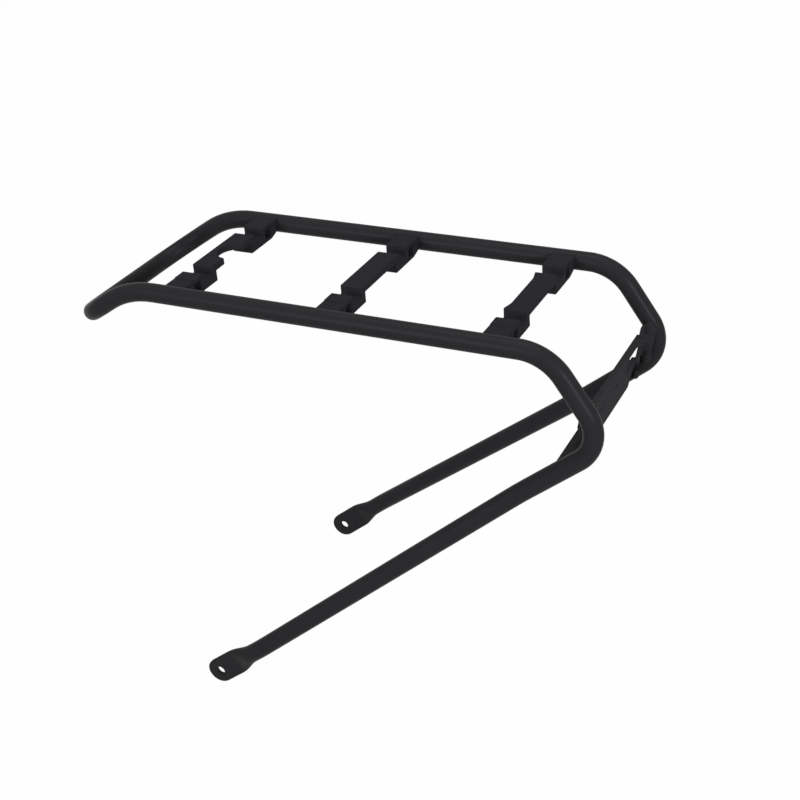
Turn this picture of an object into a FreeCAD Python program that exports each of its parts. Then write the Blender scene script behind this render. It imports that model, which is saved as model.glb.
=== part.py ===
import FreeCAD, Part
import os
from math import cos, sin, tan, radians, sqrt

os.makedirs("parts", exist_ok=True)
V = FreeCAD.Vector

# Luggage rack of bent tube, in millimetres.
# The origin is midway between the two leg eyes. X runs to the rear, Y to the right, Z up.

# Tube stock
tube_d = 16.0
tube_r = tube_d / 2

# Rails and front loop
rail_half_spacing = 81.0
rail_height = 355.8            # rail axes above the eye axis
front_bar_ahead = 125.1        # front bar axis ahead of the eye axis
front_dip = 39.9               # front bar axis below the rail axes
front_dip_angle = 33.2
front_corner_radius = 40.0
front_kink_radius = 82.7

# Rear drop and legs
rail_run = 430.5               # front bar axis to the corner of rail and drop
drop_angle = 56.2              # below the horizontal
drop_length = 83.2
upper_bend_radius = 42.0
lower_bend_radius = 31.5
splay_after = 91.7             # along the leg, from the lower corner to the splay bend
splay_bend_radius = 120.0

# Flattened leg ends
eye_half_spacing = 123.5
eye_d = 8.5
lug_thickness = 4.8
lug_width = 24.0
lug_flat = 23.0                # eye to the start of the taper
lug_taper = 24.0
lug_straight = 60.0            # eye to the bend that sets the lug parallel to the wheel
lug_bend_radius = 80.0

# Crossbars
bar_width = 19.2
bar_pitch = 141.0
front_bar_to_first = 106.1
bar_top = 7.3                  # beam top above the rail axes
bar_shoulder_step = 0.5        # the shoulder by the rail lies this much lower
bar_shoulder_width = 14.0
beam_bottom = 1.4
block_bottom = 7.8             # below the rail axes
block_length = 52.2            # rail axis to the inner face of the block
groove_floor = 0.0
groove_width = 14.7
groove_to_rail = 31.4          # rail axis to the groove's outer wall
saddle_gap = 0.05
saddle_lower_lip = 4.6         # the saddle ends this far below the rail axes
block_chamfer_run = 10.9
pocket_length = 9.2
pocket_height = 8.0
pocket_depth = 15.0
pocket_to_rail = 22.8          # rail axis to the middle of the pocket
pocket_drop = 0.8
notch_radius = 16.0            # round notch in the front bar's rear side
notch_offset = 2.0
waist_depth = 1.6              # shallow waist in the rear bar's front side
waist_half_length = 28.0
bar_edge_radius = 0.5

# Rear plate, a folded sheet between the lower bends
plate_thickness = 4.0
plate_gap = 0.05               # plate ends to the tube's inner side
plate_top_above = 12.34        # top edge of the rear face above the lower corner of the tube
plate_top_ahead = 20.88        # the same edge ahead of that corner
plate_lean = 10.7
web_height = 36.6
joggle_setback = 2.6
joggle_height = 3.2
lip_height = 12.0
foot_length = 18.0
plate_bend_radius = 6.0
joggle_radius = 1.5
tab_length = 13.0
tab_height = 20.5
tab_corner_radius = 4.0
slot_length = 22.0
slot_height = 5.4
slot_below_top = 13.6
slot_to_tube = 16.2            # tube inner side to the middle of the slot
small_hole_d = 2.8
large_hole_d = 4.4
hole_spacing = 37.0
small_hole_below_top = 14.2
hole_pitch = 5.6

# Weld beads
bead_radius = 3.4
bead_rise = 1.2                # the line of a bead off the corner that it fills
bead_end_radius = 1.6          # each end of a bead tapers to this
bead_end_length = 2.6
tab_top_bead = 9.0
tab_bottom_bead = 11.0
leg_bead = 8.0

# Places that follow from the sizes above
front_x = -front_bar_ahead
upper_corner = V(front_x + rail_run, rail_half_spacing, rail_height)
lower_corner = upper_corner + V(cos(radians(drop_angle)), 0, -sin(radians(drop_angle))) * drop_length
leg_way = V(-lower_corner.x, 0, -lower_corner.z).normalize()
inner_side = rail_half_spacing - tube_r


def mirrored(shape):
    """The shape on the other side of the middle plane."""
    return shape.mirror(V(0, 0, 0), V(0, 1, 0))


def round_path(points, radii):
    """Straight runs through the points, joined by tangent arcs of the given radii."""
    edges = []
    start = points[0]
    for before, corner, after, radius in zip(points, points[1:], points[2:], radii):
        way_in = (corner - before).normalize()
        way_out = (after - corner).normalize()
        turn = way_in.getAngle(way_out)
        setback = radius * tan(turn / 2)
        inward = (way_out - way_in).normalize()
        begin = corner - way_in * setback
        end = corner + way_out * setback
        middle = corner + inward * (radius / cos(turn / 2) - radius)
        edges.append(Part.LineSegment(start, begin).toShape())
        edges.append(Part.Arc(begin, middle, end).toShape())
        start = end
    edges.append(Part.LineSegment(start, points[-1]).toShape())
    return Part.Wire(edges)


def right_side_points():
    """Corners of the tube's right half, from the lug taper up to the front corner."""
    lug_start = lug_place(lug_flat + lug_taper, 0, 0)
    lug_corner = lug_place(lug_straight, 0, 0)
    splay_corner = lower_corner + leg_way * splay_after
    dip_run = front_dip / tan(radians(front_dip_angle))
    kink = V(front_x + dip_run, rail_half_spacing, rail_height)
    front_corner = V(front_x, rail_half_spacing, rail_height - front_dip)
    return [lug_start, lug_corner, splay_corner, lower_corner, upper_corner, kink, front_corner]


def left_of(points):
    """The same points on the left side, in the opposite order."""
    return [V(p.x, -p.y, p.z) for p in reversed(points)]


def lug_place(distance, across, side):
    """A point of the right leg end: distance up the leg from the eye, across the lug, and to its side."""
    over = V(leg_way.z, 0, -leg_way.x)
    return V(0, eye_half_spacing + side, 0) - leg_way * distance + over * across


def lug_section(distance, width, thickness, flat):
    """Closed section of the leg end: two long faces, straight or bowed, and two round flanks."""
    diagonal = cos(radians(45))
    half_side = thickness / 2 if flat else thickness / 2 * diagonal
    half_across = (width - thickness) / 2 if flat else width / 2 * diagonal
    corners = [lug_place(distance, a * half_across, b * half_side)
               for a, b in ((1, 1), (-1, 1), (-1, -1), (1, -1))]
    tips = [lug_place(distance, 0, thickness / 2), lug_place(distance, -width / 2, 0),
            lug_place(distance, 0, -thickness / 2), lug_place(distance, width / 2, 0)]
    edges = []
    for index, tip in enumerate(tips):
        begin = corners[index]
        end = corners[(index + 1) % len(corners)]
        long_face = index % 2 == 0
        curve = Part.LineSegment(begin, end) if flat and long_face else Part.Arc(begin, tip, end)
        edges.append(curve.toShape())
    return Part.Wire(edges)


def right_lug():
    """Taper from the round tube to a flat lug with a round tip and an eye."""
    middle = lug_flat + lug_taper / 2
    middle_width = (tube_d + lug_width) / 2
    middle_thickness = (tube_d + lug_thickness) / 2
    flat_section = lug_section(lug_flat, lug_width, lug_thickness, True)
    sections = [lug_section(lug_flat + lug_taper, tube_d, tube_d, False),
                lug_section(middle, middle_width, middle_thickness, False), flat_section]
    taper = Part.makeLoft(sections, True, True)
    end = Part.Face(flat_section).extrude(leg_way * lug_flat)
    tip = Part.makeCylinder(lug_width / 2, lug_thickness, lug_place(0, 0, -lug_thickness / 2), V(0, 1, 0))
    eye = Part.makeCylinder(eye_d / 2, lug_thickness * 3, lug_place(0, 0, -lug_thickness * 1.5), V(0, 1, 0))
    return taper.fuse([end, tip]).cut(eye)


def make_main_tube():
    right = right_side_points()
    side_radii = [lug_bend_radius, splay_bend_radius, lower_bend_radius, upper_bend_radius,
                  front_kink_radius, front_corner_radius]
    path = round_path(right + left_of(right), side_radii + side_radii[::-1])
    ring = Part.Wire(Part.Circle(right[0], right[1] - right[0], tube_r).toShape())
    tube = path.makePipeShell([ring], True, False)
    lug = right_lug()
    return tube.fuse([lug, mirrored(lug)]).removeSplitter()


def half_bar_outline():
    """Front view of a crossbar's right half, from the middle plane out to the rail."""
    rail = rail_half_spacing
    saddle_r = tube_r + saddle_gap
    shoulder_z = bar_top - bar_shoulder_step
    groove_out = rail - groove_to_rail
    groove_in = groove_out - groove_width
    block_in = rail - block_length
    saddle_top = rail - sqrt(saddle_r ** 2 - shoulder_z ** 2)
    saddle_low = rail - sqrt(saddle_r ** 2 - saddle_lower_lip ** 2)
    shoulder_in = saddle_top - bar_shoulder_width
    top = [(0, bar_top), (groove_in, bar_top), (groove_in, groove_floor), (groove_out, groove_floor),
           (groove_out, bar_top), (shoulder_in, bar_top), (shoulder_in, shoulder_z), (saddle_top, shoulder_z)]
    low = [(saddle_low, -saddle_lower_lip), (saddle_low - block_chamfer_run, -block_bottom),
           (block_in, -block_bottom), (block_in, beam_bottom), (0, beam_bottom), (0, bar_top)]
    top = [V(0, y, rail_height + z) for y, z in top]
    low = [V(0, y, rail_height + z) for y, z in low]
    saddle_middle = V(0, rail - saddle_r, rail_height)
    saddle = Part.Arc(top[-1], saddle_middle, low[0]).toShape()
    return Part.Wire(Part.makePolygon(top).Edges + [saddle] + Part.makePolygon(low).Edges)


def plain_crossbar(middle_x):
    """Crossbar with end blocks, grooves and a thin beam, and a pocket in each block's rear face."""
    half = Part.Face(half_bar_outline()).extrude(V(bar_width, 0, 0))
    half.translate(V(middle_x - bar_width / 2, 0, 0))
    pocket_y = rail_half_spacing - pocket_to_rail
    pocket = Part.makeBox(pocket_depth, pocket_length, pocket_height,
                          V(middle_x + bar_width / 2 - pocket_depth, pocket_y - pocket_length / 2,
                            rail_height - pocket_drop - pocket_height / 2))
    half = half.cut(pocket)
    return half.fuse(mirrored(half)).removeSplitter()


def soften_top(bar):
    """Round the long top edges of the beam and the blocks, and the lips of the grooves."""
    top = rail_height + bar_top
    groove_out = rail_half_spacing - groove_to_rail
    lips = [e for e in bar.Edges if e.BoundBox.ZMin > top - bar_shoulder_step / 2
            and abs(e.CenterOfMass.y) < groove_out + bar_edge_radius]
    return bar.makeFillet(bar_edge_radius, lips)


def make_crossbars():
    first = front_x + front_bar_to_first
    middles = [first + bar_pitch * n for n in range(3)]
    height = bar_top + block_bottom
    below = rail_height - block_bottom
    front, middle, rear = [plain_crossbar(x) for x in middles]
    notch_x = middles[0] + bar_width / 2 + notch_offset
    front = front.cut(Part.makeCylinder(notch_radius, height * 2, V(notch_x, 0, below)))
    waist_x = middles[2] - bar_width / 2
    waist_outer = waist_half_length + waist_depth
    waist = [V(waist_x, -waist_outer, below), V(waist_x + waist_depth, -waist_half_length, below),
             V(waist_x + waist_depth, waist_half_length, below), V(waist_x, waist_outer, below)]
    rear = rear.cut(Part.Face(Part.makePolygon(waist + waist[:1])).extrude(V(0, 0, height * 2)))
    return {"crossbar_front": soften_top(front), "crossbar_middle": soften_top(middle),
            "crossbar_rear": soften_top(rear)}


def on_plate(y, below_top, behind=0.0):
    """A point on the plate's rear face, or that far behind it."""
    lean = radians(plate_lean)
    x = lower_corner.x - plate_top_ahead - below_top * sin(lean) + behind * cos(lean)
    z = lower_corner.z + plate_top_above - below_top * cos(lean) - behind * sin(lean)
    return V(x, y, z)


def plate_normal():
    return (on_plate(0, 0, 1) - on_plate(0, 0)).normalize()


def plate_section(y):
    """Folded section of the sheet at a place across the rack: web, joggled lip and foot."""
    top = on_plate(y, 0)
    web_end = on_plate(y, web_height)
    lip_start = on_plate(y, web_height + joggle_height, -joggle_setback)
    lip_end = on_plate(y, web_height + joggle_height + lip_height, -joggle_setback)
    foot_end = lip_end - V(foot_length, 0, 0)
    rear_face = round_path([top, web_end, lip_start, lip_end, foot_end],
                           [joggle_radius, joggle_radius, plate_bend_radius])
    return rear_face.makeOffset2D(-plate_thickness, 0, True, True)


def right_tab():
    """End of the web folded back along the tube's inner side, with rounded free corners."""
    outer = inner_side - plate_gap
    corners = [on_plate(outer, 0, -plate_thickness), on_plate(outer, 0, tab_length),
               on_plate(outer, tab_height, tab_length), on_plate(outer, tab_height, -plate_thickness)]
    tab = Part.Face(Part.makePolygon(corners + corners[:1])).extrude(V(0, -plate_thickness, 0))
    free_corners = [e for e in tab.Edges if abs(e.CenterOfMass.y - outer + plate_thickness / 2) < plate_gap
                    and (e.CenterOfMass - on_plate(e.CenterOfMass.y, 0)).dot(plate_normal()) > 0]
    return tab.makeFillet(tab_corner_radius, free_corners)


def plate_bore(y, below_top, diameter):
    """Drill through the web, square to its face."""
    start = on_plate(y, below_top, plate_thickness)
    return Part.makeCylinder(diameter / 2, plate_thickness * 3, start, -plate_normal())


def right_slot():
    """Round-ended slot through the web, near its right end."""
    middle = inner_side - slot_to_tube
    half = (slot_length - slot_height) / 2
    ends = [plate_bore(middle + side * half, slot_below_top, slot_height) for side in (-1, 1)]
    corners = [on_plate(middle + a * half, slot_below_top + b * slot_height / 2, plate_thickness)
               for a, b in ((-1, -1), (1, -1), (1, 1), (-1, 1))]
    body = Part.Face(Part.makePolygon(corners + corners[:1])).extrude(-plate_normal() * plate_thickness * 3)
    return body.fuse(ends)


def make_rear_plate():
    half_length = inner_side - plate_gap
    plate = plate_section(-half_length).extrude(V(0, 2 * half_length, 0))
    tab = right_tab()
    plate = plate.fuse([tab, mirrored(tab)]).removeSplitter()
    cuts = [right_slot(), plate_bore(hole_spacing / 2, small_hole_below_top, small_hole_d),
            plate_bore(hole_spacing / 2, small_hole_below_top + hole_pitch, large_hole_d)]
    return plate.cut(cuts + [mirrored(cut) for cut in cuts])


def bead(middle, way, length):
    """A run of weld with tapered ends, turned about its own line."""
    side = (way.cross(V(0, 1, 0)) + V(0, 1, 0)).normalize()
    half = length / 2
    outline = [(-half, 0), (-half, bead_end_radius), (bead_end_length - half, bead_radius),
               (half - bead_end_length, bead_radius), (half, bead_end_radius), (half, 0), (-half, 0)]
    points = [middle + way * along + side * out for along, out in outline]
    return Part.Face(Part.makePolygon(points)).revolve(middle, way, 360)


def make_plate_welds(tube, plate):
    """Beads above and below each tab and where the web meets the leg, seated on both pieces."""
    y = inner_side - plate_gap - bead_rise
    back = plate_normal()
    down = (on_plate(0, 1) - on_plate(0, 0)).normalize()
    beads = [bead(on_plate(y, -bead_rise, tab_length / 2), back, tab_top_bead),
             bead(on_plate(y, tab_height + bead_rise, tab_length / 2), back, tab_bottom_bead),
             bead(on_plate(y, web_height - leg_bead / 2, bead_rise), down, leg_bead)]
    beads += [mirrored(weld) for weld in beads]
    return Part.makeCompound([weld.cut([tube, plate]) for weld in beads])


nodes = {"main_tube": make_main_tube(), "rear_plate": make_rear_plate()}
nodes.update(make_crossbars())
nodes["plate_welds"] = make_plate_welds(nodes["main_tube"], nodes["rear_plate"])
for name, shape in nodes.items():
    shape.exportStep(f"parts/{name}.step")
    print(name, len(shape.Solids), "solids", shape.isValid(), round(shape.Volume), "cubic mm")
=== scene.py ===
# %% [markdown]
# # A luggage rack in satin black
# The rack is one long tube, bent into a loop and two legs, with three cast crossbars between its rails and a folded
# plate welded across its tail. The measured solids are loaded first, and every new surface here is worked out in
# the same frame, in metres: x runs to the rear, y to the right and z up, from a point midway between the leg eyes.
# Sizes are written in millimetres, and MM turns them into metres.

# %% Load the measured frame
import bpy
import numpy as np
from mathutils import Matrix, Vector


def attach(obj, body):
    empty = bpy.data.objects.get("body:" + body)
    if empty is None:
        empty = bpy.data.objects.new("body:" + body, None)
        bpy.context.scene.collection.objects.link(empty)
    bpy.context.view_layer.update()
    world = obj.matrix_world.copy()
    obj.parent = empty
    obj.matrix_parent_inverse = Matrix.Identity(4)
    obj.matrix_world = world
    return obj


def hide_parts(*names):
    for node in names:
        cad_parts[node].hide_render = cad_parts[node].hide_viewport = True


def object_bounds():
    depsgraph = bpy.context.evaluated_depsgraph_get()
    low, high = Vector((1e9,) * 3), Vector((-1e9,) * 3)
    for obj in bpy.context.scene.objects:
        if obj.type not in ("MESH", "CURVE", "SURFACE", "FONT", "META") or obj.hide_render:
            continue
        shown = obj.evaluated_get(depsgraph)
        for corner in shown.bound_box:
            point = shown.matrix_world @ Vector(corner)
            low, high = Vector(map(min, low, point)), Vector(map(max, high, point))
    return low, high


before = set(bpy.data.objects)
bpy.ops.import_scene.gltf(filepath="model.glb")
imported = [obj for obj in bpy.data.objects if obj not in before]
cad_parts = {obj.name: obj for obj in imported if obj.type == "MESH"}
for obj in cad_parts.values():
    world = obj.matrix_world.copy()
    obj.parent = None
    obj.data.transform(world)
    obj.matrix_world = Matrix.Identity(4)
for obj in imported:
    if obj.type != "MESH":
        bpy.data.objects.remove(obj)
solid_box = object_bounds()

MM = 0.001
X, Y, Z = np.eye(3)
print("measured solids:", sorted(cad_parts))

# %% [markdown]
# ## Powder coat, and how its nodes are written
# The whole rack is powder coated: dry polyester paint is blown on, then melted in an oven. The skin is even and
# satin, with a fine orange peel where the grains flowed together. One flat colour would look like bare plastic, so
# slow noise shifts the tone and the roughness a little, and fine noise drives a bump. One small function adds a node
# with its settings and its links, and another turns an sRGB hex colour into the linear numbers that a shader needs.

# %% Colour and node helpers
def linear(hex_colour):
    """sRGB hex digits to linear RGBA: each channel goes through the sRGB curve backwards."""
    channels = np.array([int(hex_colour[i:i + 2], 16) for i in (0, 2, 4)]) / 255
    low = channels / 12.92
    high = ((channels + 0.055) / 1.055) ** 2.4
    return (*np.where(channels <= 0.04045, low, high), 1.0)


def add_node(tree, kind, inputs=None, **settings):
    """Add a node, set its own properties, and fill its sockets with numbers or with another node's socket."""
    node = tree.nodes.new(kind)
    for name, value in settings.items():
        setattr(node, name, value)
    for name, value in (inputs or {}).items():
        if isinstance(value, bpy.types.NodeSocket):
            tree.links.new(value, node.inputs[name])
        else:
            node.inputs[name].default_value = value
    return node


def empty_tree(owner):
    """The node tree of a material or a world, switched on and emptied."""
    owner.use_nodes = True
    owner.node_tree.nodes.clear()
    return owner.node_tree


print("mid grey 808080 is", round(linear("808080")[0], 3), "in linear light")

# %% Powder coat on tube, sheet and castings
POLYESTER_IOR = 1.5
TONE_PATCH, TONE_DETAIL = 40 * MM, 2.0
NOISE_LOW, NOISE_HIGH = 0.3, 0.7
ROUGHNESS_DRIFT = 0.03
PEEL_DETAIL, PEEL_STRENGTH = 3.0, 0.5


def powder_coat(name, dark, light, roughness, gloss, peel, peel_depth):
    """Powder coat: slow noise carries the tone from dark to light and the roughness with it, and fine noise of the
    peel's width is the bump. A low gloss keeps the white surroundings from greying the black at flat angles."""
    material = bpy.data.materials.new(name)
    tree = empty_tree(material)
    place = add_node(tree, "ShaderNodeTexCoord").outputs["Object"]
    slow = add_node(tree, "ShaderNodeTexNoise", {"Vector": place, "Scale": 1 / TONE_PATCH, "Detail": TONE_DETAIL})
    tone = add_node(tree, "ShaderNodeMix", {"Factor": slow.outputs["Fac"], "A": linear(dark), "B": linear(light)},
                    data_type="RGBA")
    spread = add_node(tree, "ShaderNodeMapRange", {
        "Value": slow.outputs["Fac"], "From Min": NOISE_LOW, "From Max": NOISE_HIGH,
        "To Min": roughness - ROUGHNESS_DRIFT, "To Max": roughness + ROUGHNESS_DRIFT})
    fine = add_node(tree, "ShaderNodeTexNoise", {"Vector": place, "Scale": 1 / peel, "Detail": PEEL_DETAIL})
    bump = add_node(tree, "ShaderNodeBump", {
        "Height": fine.outputs["Fac"], "Strength": PEEL_STRENGTH, "Distance": peel_depth})
    coat = add_node(tree, "ShaderNodeBsdfPrincipled", {
        "Base Color": tone.outputs["Result"], "Roughness": spread.outputs["Result"], "IOR": POLYESTER_IOR,
        "Specular IOR Level": gloss, "Normal": bump.outputs["Normal"]})
    add_node(tree, "ShaderNodeOutputMaterial", {"Surface": coat.outputs["BSDF"]})
    return material


# Polyester powder coat, baked on drawn aluminium tube. The smooth tube leaves it even, with a soft stripe of light.
# The peel is about 1 mm wide, near one pixel here, so it softens the stripe more than it shows.
satin_black = powder_coat("powder_coat_satin_black", dark="212123", light="252527", roughness=0.33, gloss=0.02,
                          peel=1.2 * MM, peel_depth=0.04 * MM)
# The same coat on blasted sheet. The rougher ground leaves it duller. Its tone is a little greyer and lighter than
# the tube's, which is painted light: the web faces the key lamp, and the lighter tone stands in for the light it
# catches.
sheet_coat_painted_lighter = powder_coat("powder_coat_on_sheet_painted_lighter", dark="29292b", light="2d2d2f", roughness=0.60, gloss=0.003,
                          peel=1.2 * MM, peel_depth=0.04 * MM)
# The same coat on die-cast aluminium. The casting's skin gives a smaller, deeper peel that takes the shine away.
cast_black = powder_coat("powder_coat_on_casting", dark="222225", light="27272b", roughness=0.50, gloss=0.004,
                         peel=0.9 * MM, peel_depth=0.06 * MM)
print("coats:", [coat.name for coat in (satin_black, sheet_coat_painted_lighter, cast_black)])

# %% [markdown]
# ## The bent tube
# On the real rack this is one aluminium tube. A tube bender makes straight runs joined by round bends, so the centre
# line here is a list of corners, each with a radius. A curve object with a round bevel could give the runs and bends,
# but not the leg ends, which are pressed flat, so numpy carries a ring along the line instead. The ring's frame turns
# only about each bend's own axis, so the skin never twists. At the leg ends the ring goes from a circle to a flat
# oval, which is a superellipse whose power rises from 2.

# %% Sizes of the tube
TUBE_R = 8.0 * MM
RAIL_Y, RAIL_Z, RAIL_RUN = 81.0 * MM, 355.8 * MM, 430.5 * MM
FRONT_X, FRONT_DIP, DIP_ANGLE = -125.1 * MM, 39.9 * MM, np.radians(33.2)
DROP, DROP_ANGLE = 83.2 * MM, np.radians(56.2)
SPLAY_BELOW = 91.7 * MM
EYE_Y = 123.5 * MM
LUG_STRAIGHT = 60.0 * MM
# From the leg's end to the front: end of the splay, start of the splay, lower bend, upper bend, dip, front corner.
BEND_RADII = np.array([80.0, 120.0, 31.5, 42.0, 82.7, 40.0]) * MM
UPPER = np.array([FRONT_X + RAIL_RUN, RAIL_Y, RAIL_Z])
LOWER = UPPER + DROP * np.array([np.cos(DROP_ANGLE), 0, -np.sin(DROP_ANGLE)])
LEG_WAY = -LOWER * (1, 0, 1) / np.linalg.norm(LOWER * (1, 0, 1))
print("rails", 2 * RAIL_Y / MM, "mm apart, leg eyes", 2 * EYE_Y / MM, "mm apart")

# %% Straight runs and round bends
RUN_STEP, BEND_STEP = 4 * MM, np.radians(4)


def turned(vectors, axis, angles):
    """Each vector turned about the axis, one row for each angle: the vector times the cosine, plus axis cross vector
    times the sine, plus its share along the axis times one minus the cosine."""
    c, s = np.cos(angles)[:, None], np.sin(angles)[:, None]
    return vectors * c + np.cross(axis, vectors) * s + axis * (vectors @ axis) * (1 - c)


def bent_line(corners, radii, side):
    """Points along straight runs and tangent arcs, with the side vector carried along without twist."""
    points, ways, sides = [], [], []
    start = corners[0]
    for before, corner, after, radius in zip(corners, corners[1:], corners[2:], radii):
        way_in = (corner - before) / np.linalg.norm(corner - before)
        way_out = (after - corner) / np.linalg.norm(after - corner)
        axis = np.cross(way_in, way_out)
        turn = np.arctan2(np.linalg.norm(axis), way_in @ way_out)
        axis = axis / np.linalg.norm(axis)
        begin = corner - way_in * radius * np.tan(turn / 2)
        centre = begin + np.cross(axis, way_in) * radius
        run_count = max(2, int(np.linalg.norm(begin - start) / RUN_STEP))
        run = np.linspace(0, 1, run_count, endpoint=False)[:, None]
        angles = np.linspace(0, turn, max(3, int(turn / BEND_STEP)), endpoint=False)
        points += [start + run * (begin - start), centre + turned(begin - centre, axis, angles)]
        ways += [np.repeat(way_in[None], len(run), 0), turned(way_in, axis, angles)]
        sides += [np.repeat(side[None], len(run), 0), turned(side, axis, angles)]
        side = turned(side, axis, np.array([turn]))[0]
        start = centre + turned(begin - centre, axis, np.array([turn]))[0]
    run = np.linspace(0, 1, max(2, int(np.linalg.norm(corners[-1] - start) / RUN_STEP)))[:, None]
    points.append(start + run * (corners[-1] - start))
    ways.append(np.repeat(way_out[None], len(run), 0))
    sides.append(np.repeat(side[None], len(run), 0))
    return np.vstack(points), np.vstack(ways), np.vstack(sides)


# %% Centre line from one leg end to the other
LUG_REACH, TIP_RINGS = 13.0 * MM, 18
eye = np.array([0, EYE_Y, 0])
dip = np.array([FRONT_X + FRONT_DIP / np.tan(DIP_ANGLE), RAIL_Y, RAIL_Z])
front_corner = np.array([FRONT_X, RAIL_Y, RAIL_Z - FRONT_DIP])
leg_corners = [eye, eye - LEG_WAY * LUG_STRAIGHT, LOWER + LEG_WAY * SPLAY_BELOW]
right_corners = [*leg_corners, LOWER, UPPER, dip, front_corner]
left_corners = [corner * (1, -1, 1) for corner in reversed(right_corners)]
line, ways, sides = bent_line(right_corners + left_corners, [*BEND_RADII, *BEND_RADII[::-1]], Y)
tip = LUG_REACH * np.cos(np.linspace(0.0, np.pi / 2, TIP_RINGS, endpoint=False))[:, None]
line = np.vstack([line[0] - ways[0] * tip, line, line[-1] + ways[-1] * tip[::-1]])
ways, sides = [np.vstack([np.repeat(rows[:1], TIP_RINGS, 0), rows, np.repeat(rows[-1:], TIP_RINGS, 0)])
               for rows in (ways, sides)]
print("tube centre line:", len(line), "stations")


# %% Meshes, and pieces on the rack
def grid_mesh(name, rows):
    """One or more tubes of rings: quads join each ring to the next, and the end rings are capped."""
    tubes = rows.reshape(-1, *rows.shape[-3:])
    index = np.arange(tubes[..., 0].size).reshape(tubes.shape[:3])
    beside = np.roll(index, -1, 2)
    quads = np.stack([index[:, :-1], beside[:, :-1], beside[:, 1:], index[:, 1:]], -1).reshape(-1, 4)
    caps = [*index[:, 0, ::-1].tolist(), *index[:, -1].tolist()]
    mesh = bpy.data.meshes.new(name)
    mesh.from_pydata(tubes.reshape(-1, 3).tolist(), [], quads.tolist() + caps)
    mesh.update()
    return mesh


def piece(name, mesh, material, *nodes):
    """Put a mesh on the rack, riding on its one body, in place of the named solids."""
    made = bpy.data.objects.new(name, mesh)
    bpy.context.scene.collection.objects.link(made)
    mesh.materials.append(material)
    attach(made, "root")
    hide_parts(*nodes)
    return made


# %% Skin of the tube, pressed flat at both leg ends
AROUND = 64
LUG_HALF_WIDTH, LUG_HALF_THICKNESS = 12.0 * MM, 2.0 * MM
LUG_FLAT, LUG_TAPER = 23.0 * MM, 24.0 * MM
LUG_SQUARENESS = 3.5
TIP_POWER, TIP_LIMIT = 2.2, 0.9999
TIP_THINNING, TIP_EDGE_POWER = 0.25, 8


def up_own_leg(stations):
    """Distance of each station up its own leg from the eye, negative towards the tip."""
    from_right = -((stations - eye) @ LEG_WAY)
    from_left = -((stations - eye * (1, -1, 1)) @ LEG_WAY)
    return np.where(stations[:, 1] > 0, from_right, from_left)


def signed_power(values, power):
    """Cosines or sines raised to a power with their signs kept: the two coordinates of a superellipse."""
    return np.sign(values) * np.abs(values) ** power


up_leg = up_own_leg(line)
end_span = np.clip((LUG_FLAT + LUG_TAPER - up_leg) / LUG_TAPER, 0, 1)
flat = end_span ** 2 * (3 - 2 * end_span)
past_eye = np.clip(-up_leg / LUG_REACH, 0, TIP_LIMIT)
half_width = TUBE_R + flat * (LUG_HALF_WIDTH - TUBE_R)
half_width = half_width * (1 - past_eye ** TIP_POWER) ** (1 / TIP_POWER)
half_thick = TUBE_R + flat * (LUG_HALF_THICKNESS - TUBE_R)
half_thick = half_thick * (1 - TIP_THINNING + TIP_THINNING * np.sqrt(1 - past_eye ** TIP_EDGE_POWER))
power = 2 / (2 + LUG_SQUARENESS * flat ** 2)
theta = np.linspace(0, 2 * np.pi, AROUND, endpoint=False)
wide = half_width[:, None] * signed_power(np.cos(theta), power[:, None])
thick = half_thick[:, None] * signed_power(np.sin(theta), power[:, None])
across = np.cross(ways, sides)
skin = line[:, None] + across[:, None] * wide[..., None] + sides[:, None] * thick[..., None]
tube_mesh = grid_mesh("rack_tube", skin)
rack_tube = piece("rack_tube", tube_mesh, satin_black, "main_tube")
print("rack tube:", len(tube_mesh.polygons), "faces")

# %% [markdown]
# ## Outlines with rounded corners, carried along a line
# The castings and the folded plate are the same idea: a flat outline, carried straight through the piece. Real edges
# are never sharp. A bevel modifier could soften them, but it stumbles where arcs and cuts meet, so the softness is
# worked out here: each corner of an outline gets an arc, and the rings near both ends of the run are drawn in along a
# quarter circle. The same rings, growing instead of shrinking, make a cutter whose hole has a soft rim.

# %% Outline helpers
SQUARE = np.array([(-1, -1), (1, -1), (1, 1), (-1, 1)])
ARC_STEPS, CIRCLE_STEPS = 6, 12
SAME_POINT = 0.001 * MM
LEAN_LIMIT = 0.5


def unit(vectors):
    """Each row divided by its own length."""
    return vectors / np.linalg.norm(vectors, axis=-1, keepdims=True)


def left_of(ways):
    """Each flat direction turned a quarter turn to the left."""
    return np.stack([-ways[..., 1], ways[..., 0]], -1)


def rounded_outline(corners, radii, steps=ARC_STEPS):
    """Closed flat outline: at each corner, an arc of its radius that touches both sides. Radius 0 keeps a corner."""
    way_in, way_out = unit(corners - np.roll(corners, 1, 0)), unit(np.roll(corners, -1, 0) - corners)
    turn = np.arctan2((left_of(way_in) * way_out).sum(1), (way_in * way_out).sum(1))
    begin = corners - way_in * (radii * np.tan(np.abs(turn) / 2))[:, None]
    centre = begin + left_of(way_in) * (radii * np.sign(turn))[:, None]
    angle = (turn[:, None] * np.linspace(0, 1, steps))[..., None]
    spoke = (begin - centre)[:, None]
    points = (centre[:, None] + spoke * np.cos(angle) + left_of(spoke) * np.sin(angle)).reshape(-1, 2)
    return points[np.linalg.norm(points - np.roll(points, 1, 0), axis=1) > SAME_POINT]


def round_outline(radius):
    """A circle, as a square with corners as round as they can be."""
    return rounded_outline(radius * SQUARE, np.full(4, radius), CIRCLE_STEPS)


def drawn_in(outline, inset):
    """Outline moved inwards by the inset, along the line that halves each corner."""
    way = unit(np.roll(outline, -1, 0) - outline)
    normal = unit(left_of(way) + left_of(np.roll(way, 1, 0)))
    lean = np.maximum((normal * left_of(way)).sum(1), LEAN_LIMIT)
    return outline + normal * (inset / lean)[:, None]


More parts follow.
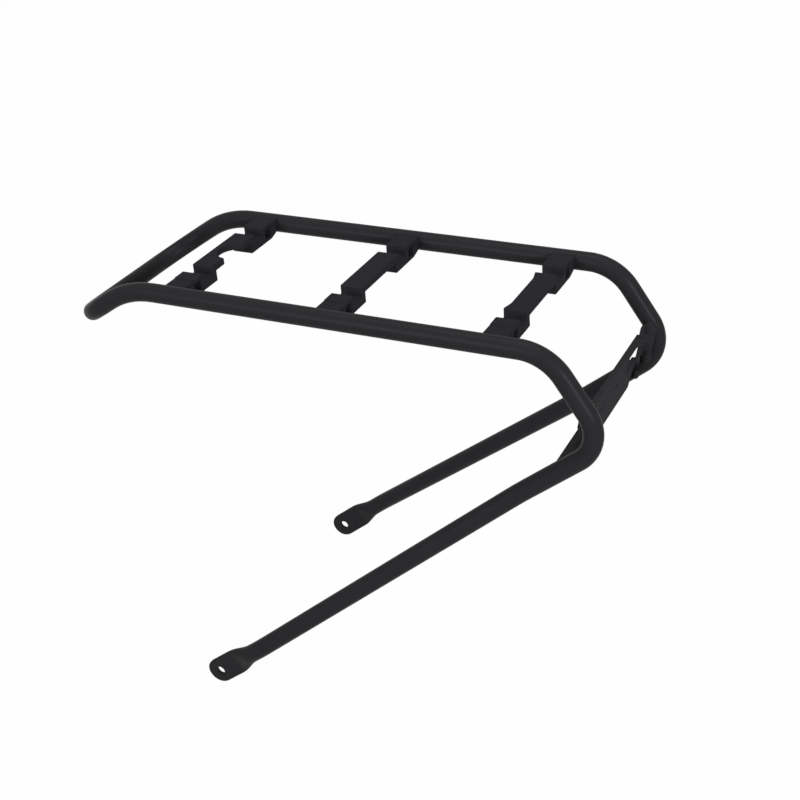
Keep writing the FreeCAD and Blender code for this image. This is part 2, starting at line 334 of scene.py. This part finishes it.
def carried(outline, depths, insets, origin, across, up):
    """Rings of an outline at each depth along the normal of its plane, each drawn in by its own inset."""
    rings = np.stack([drawn_in(outline, inset) for inset in insets])
    along = np.cross(across, up)
    return origin + rings[..., :1] * across + rings[..., 1:] * up + depths[:, None, None] * along


print("a round outline has", len(round_outline(TUBE_R)), "points")

# %% Soft ends and flared cutters
QUARTER = np.linspace(0, np.pi / 2, 5)
CUTTER_PAST = 2 * MM


def soft_ends(start, end, radius):
    """Depths and insets that round both ends of a run by a quarter circle."""
    depth, inset = radius * (1 - np.cos(QUARTER)), radius * (1 - np.sin(QUARTER))
    return np.concatenate([start + depth, end - depth[::-1]]), np.concatenate([inset, inset[::-1]])


def flared(start, end, rim, blind=False):
    """Depths and insets of a cutter from start to end that grows by the rim radius where it breaks the surface."""
    depth, grow = rim * (np.sin(QUARTER) - 1), -rim * (1 - np.cos(QUARTER))
    first = [start] if blind else [start - CUTTER_PAST, *(start - depth[::-1])]
    first_grow = [0.0] if blind else [-rim, *grow[::-1]]
    return np.array([*first, *(end + depth), end + CUTTER_PAST]), np.array([*first_grow, *grow, -rim])


print("each soft edge has", len(QUARTER), "rings")

# %% Booleans and shading
SHARP_ANGLE = np.radians(50)


def combine(made, operation, *tools):
    """Take the tools' rings out of a piece, or add them to it, with exact Booleans, and keep a plain mesh."""
    helpers = [bpy.data.objects.new("tool", grid_mesh("tool", rings)) for rings in tools]
    for helper in helpers:
        bpy.context.scene.collection.objects.link(helper)
        step = made.modifiers.new("combine", "BOOLEAN")
        step.object, step.operation, step.solver = helper, operation, "EXACT"
    result = bpy.data.meshes.new_from_object(made.evaluated_get(bpy.context.evaluated_depsgraph_get()))
    made.modifiers.clear()
    made.data = result
    for helper in helpers:
        bpy.data.objects.remove(helper)


def smooth_skin(made):
    """Smooth shading in which the wide flat faces set the direction of the light at their edges."""
    made.data.shade_smooth()
    made.data.set_sharp_from_angle(angle=SHARP_ANGLE)
    weights = made.modifiers.new("flat faces first", "WEIGHTED_NORMAL")
    weights.keep_sharp = True
    print(made.name, len(made.data.polygons), "faces")


# %% [markdown]
# ## The eyes in the leg ends
# Each flattened leg end is punched through for a bolt. The hole could be left out of the grid of rings, but a cutter
# is simpler and stays round. Its flared ends leave the slightly rounded rim that paint gives a punched hole.

# %% Eyes
EYE_R, EYE_RIM = 4.25 * MM, 0.5 * MM
eye_depths, eye_growth = flared(-LUG_HALF_THICKNESS, LUG_HALF_THICKNESS, EYE_RIM)
combine(rack_tube, "DIFFERENCE", *[carried(round_outline(EYE_R), eye_depths, eye_growth, eye * (1, side, 1), Z, X)
                                   for side in (1, -1)])
smooth_skin(rack_tube)

# %% [markdown]
# ## The cast crossbars
# Three die-cast bars sit between the rails. Seen from the front, each has a block at both ends with a hollow saddle
# for the rail, a strap groove, and a thin beam between the blocks. Boxes joined together could give that, but the
# saddle and the soft corners are one continuous line on a casting. So the front view is the outline, and it is
# carried along x through the width of the bar. The pockets in the blocks, the half-round notch of the front bar and
# the waist of the rear bar are cut afterwards.

# %% Front view of a crossbar
BAR_XS = np.array([-19.0, 122.0, 263.0]) * MM
BAR_HALF, BAR_EDGE = 9.6 * MM, 0.4 * MM
# Heights are from the rails' centre line, and distances across are from the middle of the bar.
BEAM_TOP, BEAM_BOTTOM, BLOCK_BOTTOM = 7.3 * MM, 1.4 * MM, -7.8 * MM
BLOCK_IN, BLOCK_OUT, BLOCK_R, BLOCK_OUT_R = 28.8 * MM, 63.5 * MM, 0.7 * MM, 1.5 * MM
GROOVE_IN, GROOVE_OUT, GROOVE_FLOOR, GROOVE_R = 34.9 * MM, 49.6 * MM, 0.0, 0.8 * MM
SHOULDER_IN, SHOULDER_TOP = 62.7 * MM, 6.8 * MM
SEAT_GAP = 0.05 * MM
SADDLE_FROM, SADDLE_TO, SADDLE_STEPS = 214.85, 122.36, 14
saddle_turn = np.radians(np.linspace(SADDLE_FROM, SADDLE_TO, SADDLE_STEPS))
saddle = (TUBE_R + SEAT_GAP) * np.stack([np.cos(saddle_turn), np.sin(saddle_turn)], 1) + (RAIL_Y, 0)
below = [(BLOCK_IN, BEAM_BOTTOM), (BLOCK_IN, BLOCK_BOTTOM), (BLOCK_OUT, BLOCK_BOTTOM)]
above = [(SHOULDER_IN, SHOULDER_TOP), (SHOULDER_IN, BEAM_TOP), (GROOVE_OUT, BEAM_TOP), (GROOVE_OUT, GROOVE_FLOOR),
         (GROOVE_IN, GROOVE_FLOOR), (GROOVE_IN, BEAM_TOP)]
half_front = np.vstack([below, saddle, above])
half_round = np.array([BLOCK_R, BLOCK_R, BLOCK_OUT_R, *np.zeros(SADDLE_STEPS),
                       0, 0, BLOCK_R, GROOVE_R, GROOVE_R, BLOCK_R])
front_view = rounded_outline(np.vstack([half_front, half_front[::-1] * (-1, 1)]),
                             np.concatenate([half_round, half_round[::-1]])) + (0, RAIL_Z)
print("crossbar outline:", len(front_view), "points")

# %% Pockets, notch and waist
POCKET_HALF, POCKET_R = (4.6 * MM, 4.0 * MM), 0.8 * MM
POCKET_Y, POCKET_Z = 58.2 * MM, RAIL_Z - 0.8 * MM
POCKET_DEPTH, POCKET_RIM = 15.0 * MM, 0.5 * MM
NOTCH_R, NOTCH_BEHIND, NOTCH_RIM = 16.0 * MM, 2.0 * MM, 0.5 * MM
WAIST_DEPTH, WAIST_HALF, WAIST_END = 2.2 * MM, 24.0 * MM, 33.5 * MM
WAIST_R, WAIST_RIM = 6.0 * MM, 0.4 * MM


def pocket(bar_x, side):
    """A blind, round-cornered pocket in the rear face of the block on that side."""
    mouth = rounded_outline(SQUARE * POCKET_HALF, np.full(4, POCKET_R))
    depths, growth = flared(BAR_HALF - POCKET_DEPTH, BAR_HALF, POCKET_RIM, blind=True)
    return carried(mouth, depths, growth, np.array([bar_x, side * POCKET_Y, POCKET_Z]), Y, Z)


def notch(bar_x):
    """A circle with its centre a little behind the rear face, through the height of the beam."""
    depths, growth = flared(RAIL_Z + BEAM_BOTTOM, RAIL_Z + BEAM_TOP, NOTCH_RIM)
    return carried(round_outline(NOTCH_R), depths, growth, (bar_x + BAR_HALF + NOTCH_BEHIND) * X, X, Y)


def waist(bar_x):
    """A trapezium into the front face: flat over twice WAIST_HALF, with slopes that cross the face at WAIST_END."""
    wide_end = WAIST_END + WAIST_END - WAIST_HALF
    view = rounded_outline(np.array([(-WAIST_DEPTH, -wide_end), (WAIST_DEPTH, -WAIST_HALF),
                                     (WAIST_DEPTH, WAIST_HALF), (-WAIST_DEPTH, wide_end)]),
                           np.array([0, WAIST_R, WAIST_R, 0]))
    depths, growth = flared(RAIL_Z + BLOCK_BOTTOM, RAIL_Z + BEAM_TOP, WAIST_RIM)
    return carried(view, depths, growth, (bar_x - BAR_HALF) * X, X, Y)


for cut_name, depth in {"pocket": POCKET_DEPTH, "notch": NOTCH_R - NOTCH_BEHIND, "waist": WAIST_DEPTH}.items():
    print(cut_name, "depth:", round(depth / MM, 1), "mm")

# %% Three bars
OWN_CUTS = {"front": [notch], "middle": [], "rear": [waist]}
for (name, own_cuts), bar_x in zip(OWN_CUTS.items(), BAR_XS):
    rings = carried(front_view, *soft_ends(-BAR_HALF, BAR_HALF, BAR_EDGE), bar_x * X, Y, Z)
    bar = piece(f"cast_bar_{name}", grid_mesh(f"cast_bar_{name}", rings), cast_black, f"crossbar_{name}")
    combine(bar, "DIFFERENCE", pocket(bar_x, 1), pocket(bar_x, -1), *[own_cut(bar_x) for own_cut in own_cuts])
    smooth_skin(bar)

# %% [markdown]
# ## The rear plate
# A strip of sheet is folded into a web, a small step, a lip and a foot. A flat plane with a thickness modifier could
# be folded too, but its folds would get sharp insides. Here its side view is the outline, carried along y: the inner
# line of the sheet is the outer line moved by the thickness, so every fold keeps the same wall. Each end has an open
# window and a tab, folded back along the tube, which rises above the web as an ear. The tabs and their folds are
# joined on with a Boolean union, and the bolt holes are cut last.

# %% Side view of the folded sheet
PLATE_LEAN = np.radians(10.7)
BACK = np.array([np.cos(PLATE_LEAN), 0, -np.sin(PLATE_LEAN)])
DOWN = np.array([-np.sin(PLATE_LEAN), 0, -np.cos(PLATE_LEAN)])
TOP_FROM_BEND = np.array([-20.88, 0, 12.34]) * MM
PLATE_TOP = (LOWER + TOP_FROM_BEND) * (1, 0, 1)
PLATE_END = RAIL_Y - TUBE_R - SEAT_GAP
SHEET, SHEET_EDGE = 4.0 * MM, 0.4 * MM
WEB_END, STEP_END, STEP, LIP_END, FOOT = 37.4 * MM, 38.8 * MM, 1.3 * MM, 55.4 * MM, 16.7 * MM
EDGE_R, STEP_R, FOOT_R = 0.6 * MM, 1.0 * MM, 6.0 * MM
foot_way = np.array([-np.cos(PLATE_LEAN), np.sin(PLATE_LEAN)])
lip_end = np.array([-STEP, LIP_END])
outer = np.array([(0, 0), (0, WEB_END), (-STEP, STEP_END), lip_end, lip_end + FOOT * foot_way])
outer_round = [EDGE_R, STEP_R, EDGE_R, FOOT_R, EDGE_R]
inner_round = [EDGE_R, 0, STEP_R, FOOT_R - SHEET, EDGE_R]
sheet_left = left_of(unit(np.diff(outer, axis=0)))
normal_in, normal_out = np.vstack([sheet_left[:1], sheet_left]), np.vstack([sheet_left, sheet_left[-1:]])
inner = outer + SHEET * (normal_in + normal_out) / (1 + (normal_in * normal_out).sum(1))[:, None]
side_view = rounded_outline(np.vstack([outer, inner[::-1]]), np.array(outer_round + inner_round[::-1]))
plate_depths, plate_insets = soft_ends(-PLATE_END, PLATE_END, SHEET_EDGE)
plate_mesh = grid_mesh("folded_plate", carried(side_view, plate_depths, plate_insets, PLATE_TOP, BACK, DOWN))
# The plate takes the sheet's copy of the coat, whose lighter tone is painted light for the lit web.
folded_plate = piece("folded_plate", plate_mesh, sheet_coat_painted_lighter, "rear_plate")
print("plate outline:", len(side_view), "points")

# %% Windows at both ends
WINDOW_TOP, WINDOW_BOTTOM, WINDOW_IN = 8.4 * MM, 22.3 * MM, 46.0 * MM
WINDOW_R, WINDOW_RIM = 1.6 * MM, 0.6 * MM
WINDOW_OUT = PLATE_END + CUTTER_PAST


def both_sides(right_rings):
    """Rings for the right end of the plate and their mirror image for the left end."""
    return [right_rings, right_rings[:, ::-1] * (1, -1, 1)]


window_view = rounded_outline(np.array([(WINDOW_IN, -WINDOW_BOTTOM), (WINDOW_OUT, -WINDOW_BOTTOM),
                                        (WINDOW_OUT, -WINDOW_TOP), (WINDOW_IN, -WINDOW_TOP)]),
                              np.array([WINDOW_R, 0, 0, WINDOW_R]))
window = carried(window_view, *flared(-SHEET, 0, WINDOW_RIM), PLATE_TOP, Y, -DOWN)
combine(folded_plate, "DIFFERENCE", *both_sides(window))
print("windows:", round((PLATE_END - WINDOW_IN) / MM), "mm long")

# %% Tabs and their folds
# Corners of the tab in millimetres: how far behind the web's face, how far below its top, and the corner's radius.
EAR = [(-1.5, -13, 5), (11, -13, 5), (11, 15, 4)]
STRIP_BESIDE_WINDOW = [(3.5, 15, 2), (3.5, 26, 1), (-0.3, 26, 0.6), (-0.3, 3, 0), (-1.5, 1, 0)]
FOLD_R, FOLD_STEPS = 5.0 * MM, 10
FOLD_CLEAR = 0.8 * MM

tab_corners = np.array(EAR + STRIP_BESIDE_WINDOW) * MM
tab_view = rounded_outline(tab_corners[:, :2], tab_corners[:, 2])
tab = carried(tab_view, *soft_ends(PLATE_END - SHEET, PLATE_END, SHEET_EDGE), PLATE_TOP, BACK, DOWN)
fold_turn = np.linspace(np.pi / 2, 0, FOLD_STEPS)
fold_arc = FOLD_R * np.stack([np.cos(fold_turn) - 1, 1 - np.sin(fold_turn)], 1)
fold_heel = [(SHEET / 2, FOLD_R), (SHEET / 2, -SHEET / 2), (-FOLD_R, -SHEET / 2)]
fold_depths = np.array([SHEET_EDGE, WINDOW_TOP - FOLD_CLEAR])
fold = carried(np.vstack([fold_arc, fold_heel])[::-1], fold_depths, np.zeros(2),
               PLATE_TOP + (PLATE_END - SHEET) * Y, Y, BACK)
combine(folded_plate, "UNION", *both_sides(tab))
combine(folded_plate, "UNION", *both_sides(fold))
print("tab outline:", len(tab_view), "points")

# %% Bolt holes
HOLE_Y, HOLE_RIM = 18.5 * MM, 0.4 * MM
HOLES = {"small": (1.5 * MM, 14.2 * MM), "large": (2.3 * MM, 19.8 * MM)}  # radius, and distance below the top
right_holes = [carried(round_outline(radius), *flared(-SHEET, 0, HOLE_RIM),
                       PLATE_TOP + HOLE_Y * Y + low * DOWN, Y, -DOWN) for radius, low in HOLES.values()]
right, left = zip(*map(both_sides, right_holes))
combine(folded_plate, "DIFFERENCE", *right, *left)
smooth_skin(folded_plate)

# %% [markdown]
# ## The weld beads
# A weld is a row of small puddles, each frozen over the last, so its skin is a stack of crescents. A bump in the
# material could suggest them, but the beads are big enough to show in the outline. One function of two parameters,
# along the bead and around it, gives the shape. Its scallop repeats every puddle and trails back at the sides.

# %% Rippled beads
PUDDLE = 2.6 * MM
RIPPLE, RIPPLE_POWER, RIPPLE_LAG, RIPPLE_FACING = 0.16, 0.6, 0.35, np.pi / 4
BEAD_END, BEAD_END_POWER = 0.9995, 4
BEAD_IN = 1.2 * MM


def bead_rings(middle, way, length, radius, stations=48, around=32):
    """Radius = bead radius x rounded ends x a scallop that repeats every puddle and lags towards the sides."""
    s = np.linspace(-1, 1, stations)[:, None]
    turn = np.linspace(0, 2 * np.pi, around, endpoint=False)[None]
    lag = RIPPLE_LAG * (1 - np.cos(turn - RIPPLE_FACING))
    scallop = np.abs(np.sin(np.pi * (s * length / 2 / PUDDLE - lag))) ** RIPPLE_POWER
    ends = (1 - BEAD_END * np.abs(s) ** BEAD_END_POWER) ** 0.5
    reach = radius * ends * (1 - RIPPLE + RIPPLE * scallop)
    side = unit(np.cross(way, Y))
    spokes = np.cos(turn)[..., None] * side + np.sin(turn)[..., None] * np.cross(way, side)
    return middle + (s * length / 2)[..., None] * way + reach[..., None] * spokes


# Each bead in millimetres: how far behind the web's face, how far below its top, length and radius.
BEADS = [(4.7, -9.6, 12.0, 4.0), (8.0, 15.4, 14.0, 4.4), (2.6, 36.0, 9.0, 3.2)]
beads = [bead_rings(PLATE_TOP + side * (PLATE_END - BEAD_IN) * Y + behind * BACK + low * DOWN, DOWN, length, radius)
         for side in (1, -1) for behind, low, length, radius in np.array(BEADS) * MM]
weld_mesh = grid_mesh("weld_beads", np.stack(beads))
weld_beads = piece("weld_beads", weld_mesh, satin_black, "plate_welds")
weld_mesh.shade_smooth()
print("weld beads:", len(beads))

# %% [markdown]
# ## Floor, light and camera
# The photo has a plain white ground. More light could burn it white, but would grey the rack as well. So the floor
# and the world glow white only to the camera and in reflections, and light the rack hardly at all. Three soft lamps
# do that: a key from the rear, on the camera's side, a fill from the front and a large one from above.

# %% Floor
FLOOR_BELOW, FLOOR_HALF = 2 * MM, 6.0
FLOOR_GLOW = 0.985
WHITE = (1, 1, 1, 1)
floor_corners = np.column_stack([FLOOR_HALF * SQUARE, np.full(4, solid_box[0][2] - FLOOR_BELOW)])
floor_mesh = bpy.data.meshes.new("floor")
floor_mesh.from_pydata(floor_corners.tolist(), [], [(0, 1, 2, 3)])
floor = bpy.data.objects.new("floor", floor_mesh)
bpy.context.scene.collection.objects.link(floor)


def background_rays(tree):
    """1 for rays that see the background directly or in a mirror or glass, else 0."""
    path = add_node(tree, "ShaderNodeLightPath")
    first = add_node(tree, "ShaderNodeMath", {0: path.outputs["Is Camera Ray"], 1: path.outputs["Is Glossy Ray"]},
                     operation="MAXIMUM")
    return add_node(tree, "ShaderNodeMath", {0: first.outputs[0], 1: path.outputs["Is Transmission Ray"]},
                    operation="MAXIMUM").outputs[0]


# Pale emulsion paint, rolled on: matt, with no shine. The small share that doesn't glow keeps the rack's shadow.
floor_paint = bpy.data.materials.new("pale_floor_paint")
tree = empty_tree(floor_paint)
matt = add_node(tree, "ShaderNodeBsdfDiffuse", {"Color": linear("bcbcbc")})
glow = add_node(tree, "ShaderNodeEmission", {"Color": WHITE, "Strength": 1.0})
share = add_node(tree, "ShaderNodeMath", {0: background_rays(tree), 1: FLOOR_GLOW}, operation="MULTIPLY")
both = add_node(tree, "ShaderNodeMixShader", {0: share.outputs[0], 1: matt.outputs[0], 2: glow.outputs[0]})
add_node(tree, "ShaderNodeOutputMaterial", {"Surface": both.outputs[0]})
floor_mesh.materials.append(floor_paint)
print("floor:", 2 * FLOOR_HALF, "m wide")

# %% World
AMBIENT = 0.05
world = bpy.data.worlds.new("studio")
bpy.context.scene.world = world
tree = empty_tree(world)
strength = add_node(tree, "ShaderNodeMapRange", {"Value": background_rays(tree), "To Min": AMBIENT, "To Max": 1.0})
sky = add_node(tree, "ShaderNodeBackground", {"Color": WHITE, "Strength": strength.outputs["Result"]})
add_node(tree, "ShaderNodeOutputWorld", {"Surface": sky.outputs["Background"]})
print("world: white to the camera,", AMBIENT, "as light")

# %% Lamps
# Each lamp's place in metres, the side of its square in metres, and its watts.
LAMPS = {
    "key": ((2.1, -1.2, 1.0), 0.45, 48),
    "fill": ((-0.7, -2.1, 1.1), 1.0, 36),
    "top": ((0.0, 0.2, 2.2), 1.4, 29),
}
middle = (solid_box[0] + solid_box[1]) / 2
for name, (place, size, watts) in LAMPS.items():
    lamp = bpy.data.lights.new(name, "AREA")
    lamp.size = size
    lamp.energy = watts
    soft_box = bpy.data.objects.new(name, lamp)
    soft_box.location = place
    soft_box.rotation_euler = (Vector(middle) - Vector(place)).to_track_quat("-Z", "Y").to_euler()
    bpy.context.scene.collection.objects.link(soft_box)
print("lamps:", list(LAMPS))

# %% Camera
SENSOR_MM = 36.0
PHOTO_WIDTH_PX, FOCAL_PX = 800, 1415.45
CAMERA_PLACE = Vector((0.6280, -0.9377, 0.8411))
CAMERA_AHEAD = Vector((-0.4015, 0.7720, -0.4927)).normalized()
CAMERA_RIGHT = Vector((0.9021, 0.4265, -0.0668)).normalized()
CAMERA_UP = CAMERA_RIGHT.cross(CAMERA_AHEAD).normalized()
camera_data = bpy.data.cameras.new("camera")
camera_data.sensor_width = SENSOR_MM
camera_data.lens = FOCAL_PX / PHOTO_WIDTH_PX * SENSOR_MM
camera = bpy.data.objects.new("camera", camera_data)
camera_turn = Matrix((CAMERA_RIGHT, CAMERA_UP, -CAMERA_AHEAD)).transposed()
camera.matrix_world = Matrix.Translation(CAMERA_PLACE) @ camera_turn.to_4x4()
bpy.context.scene.collection.objects.link(camera)
bpy.context.scene.camera = camera
bpy.context.scene.view_settings.view_transform = "Standard"
print("camera lens:", round(camera_data.lens, 1), "mm")
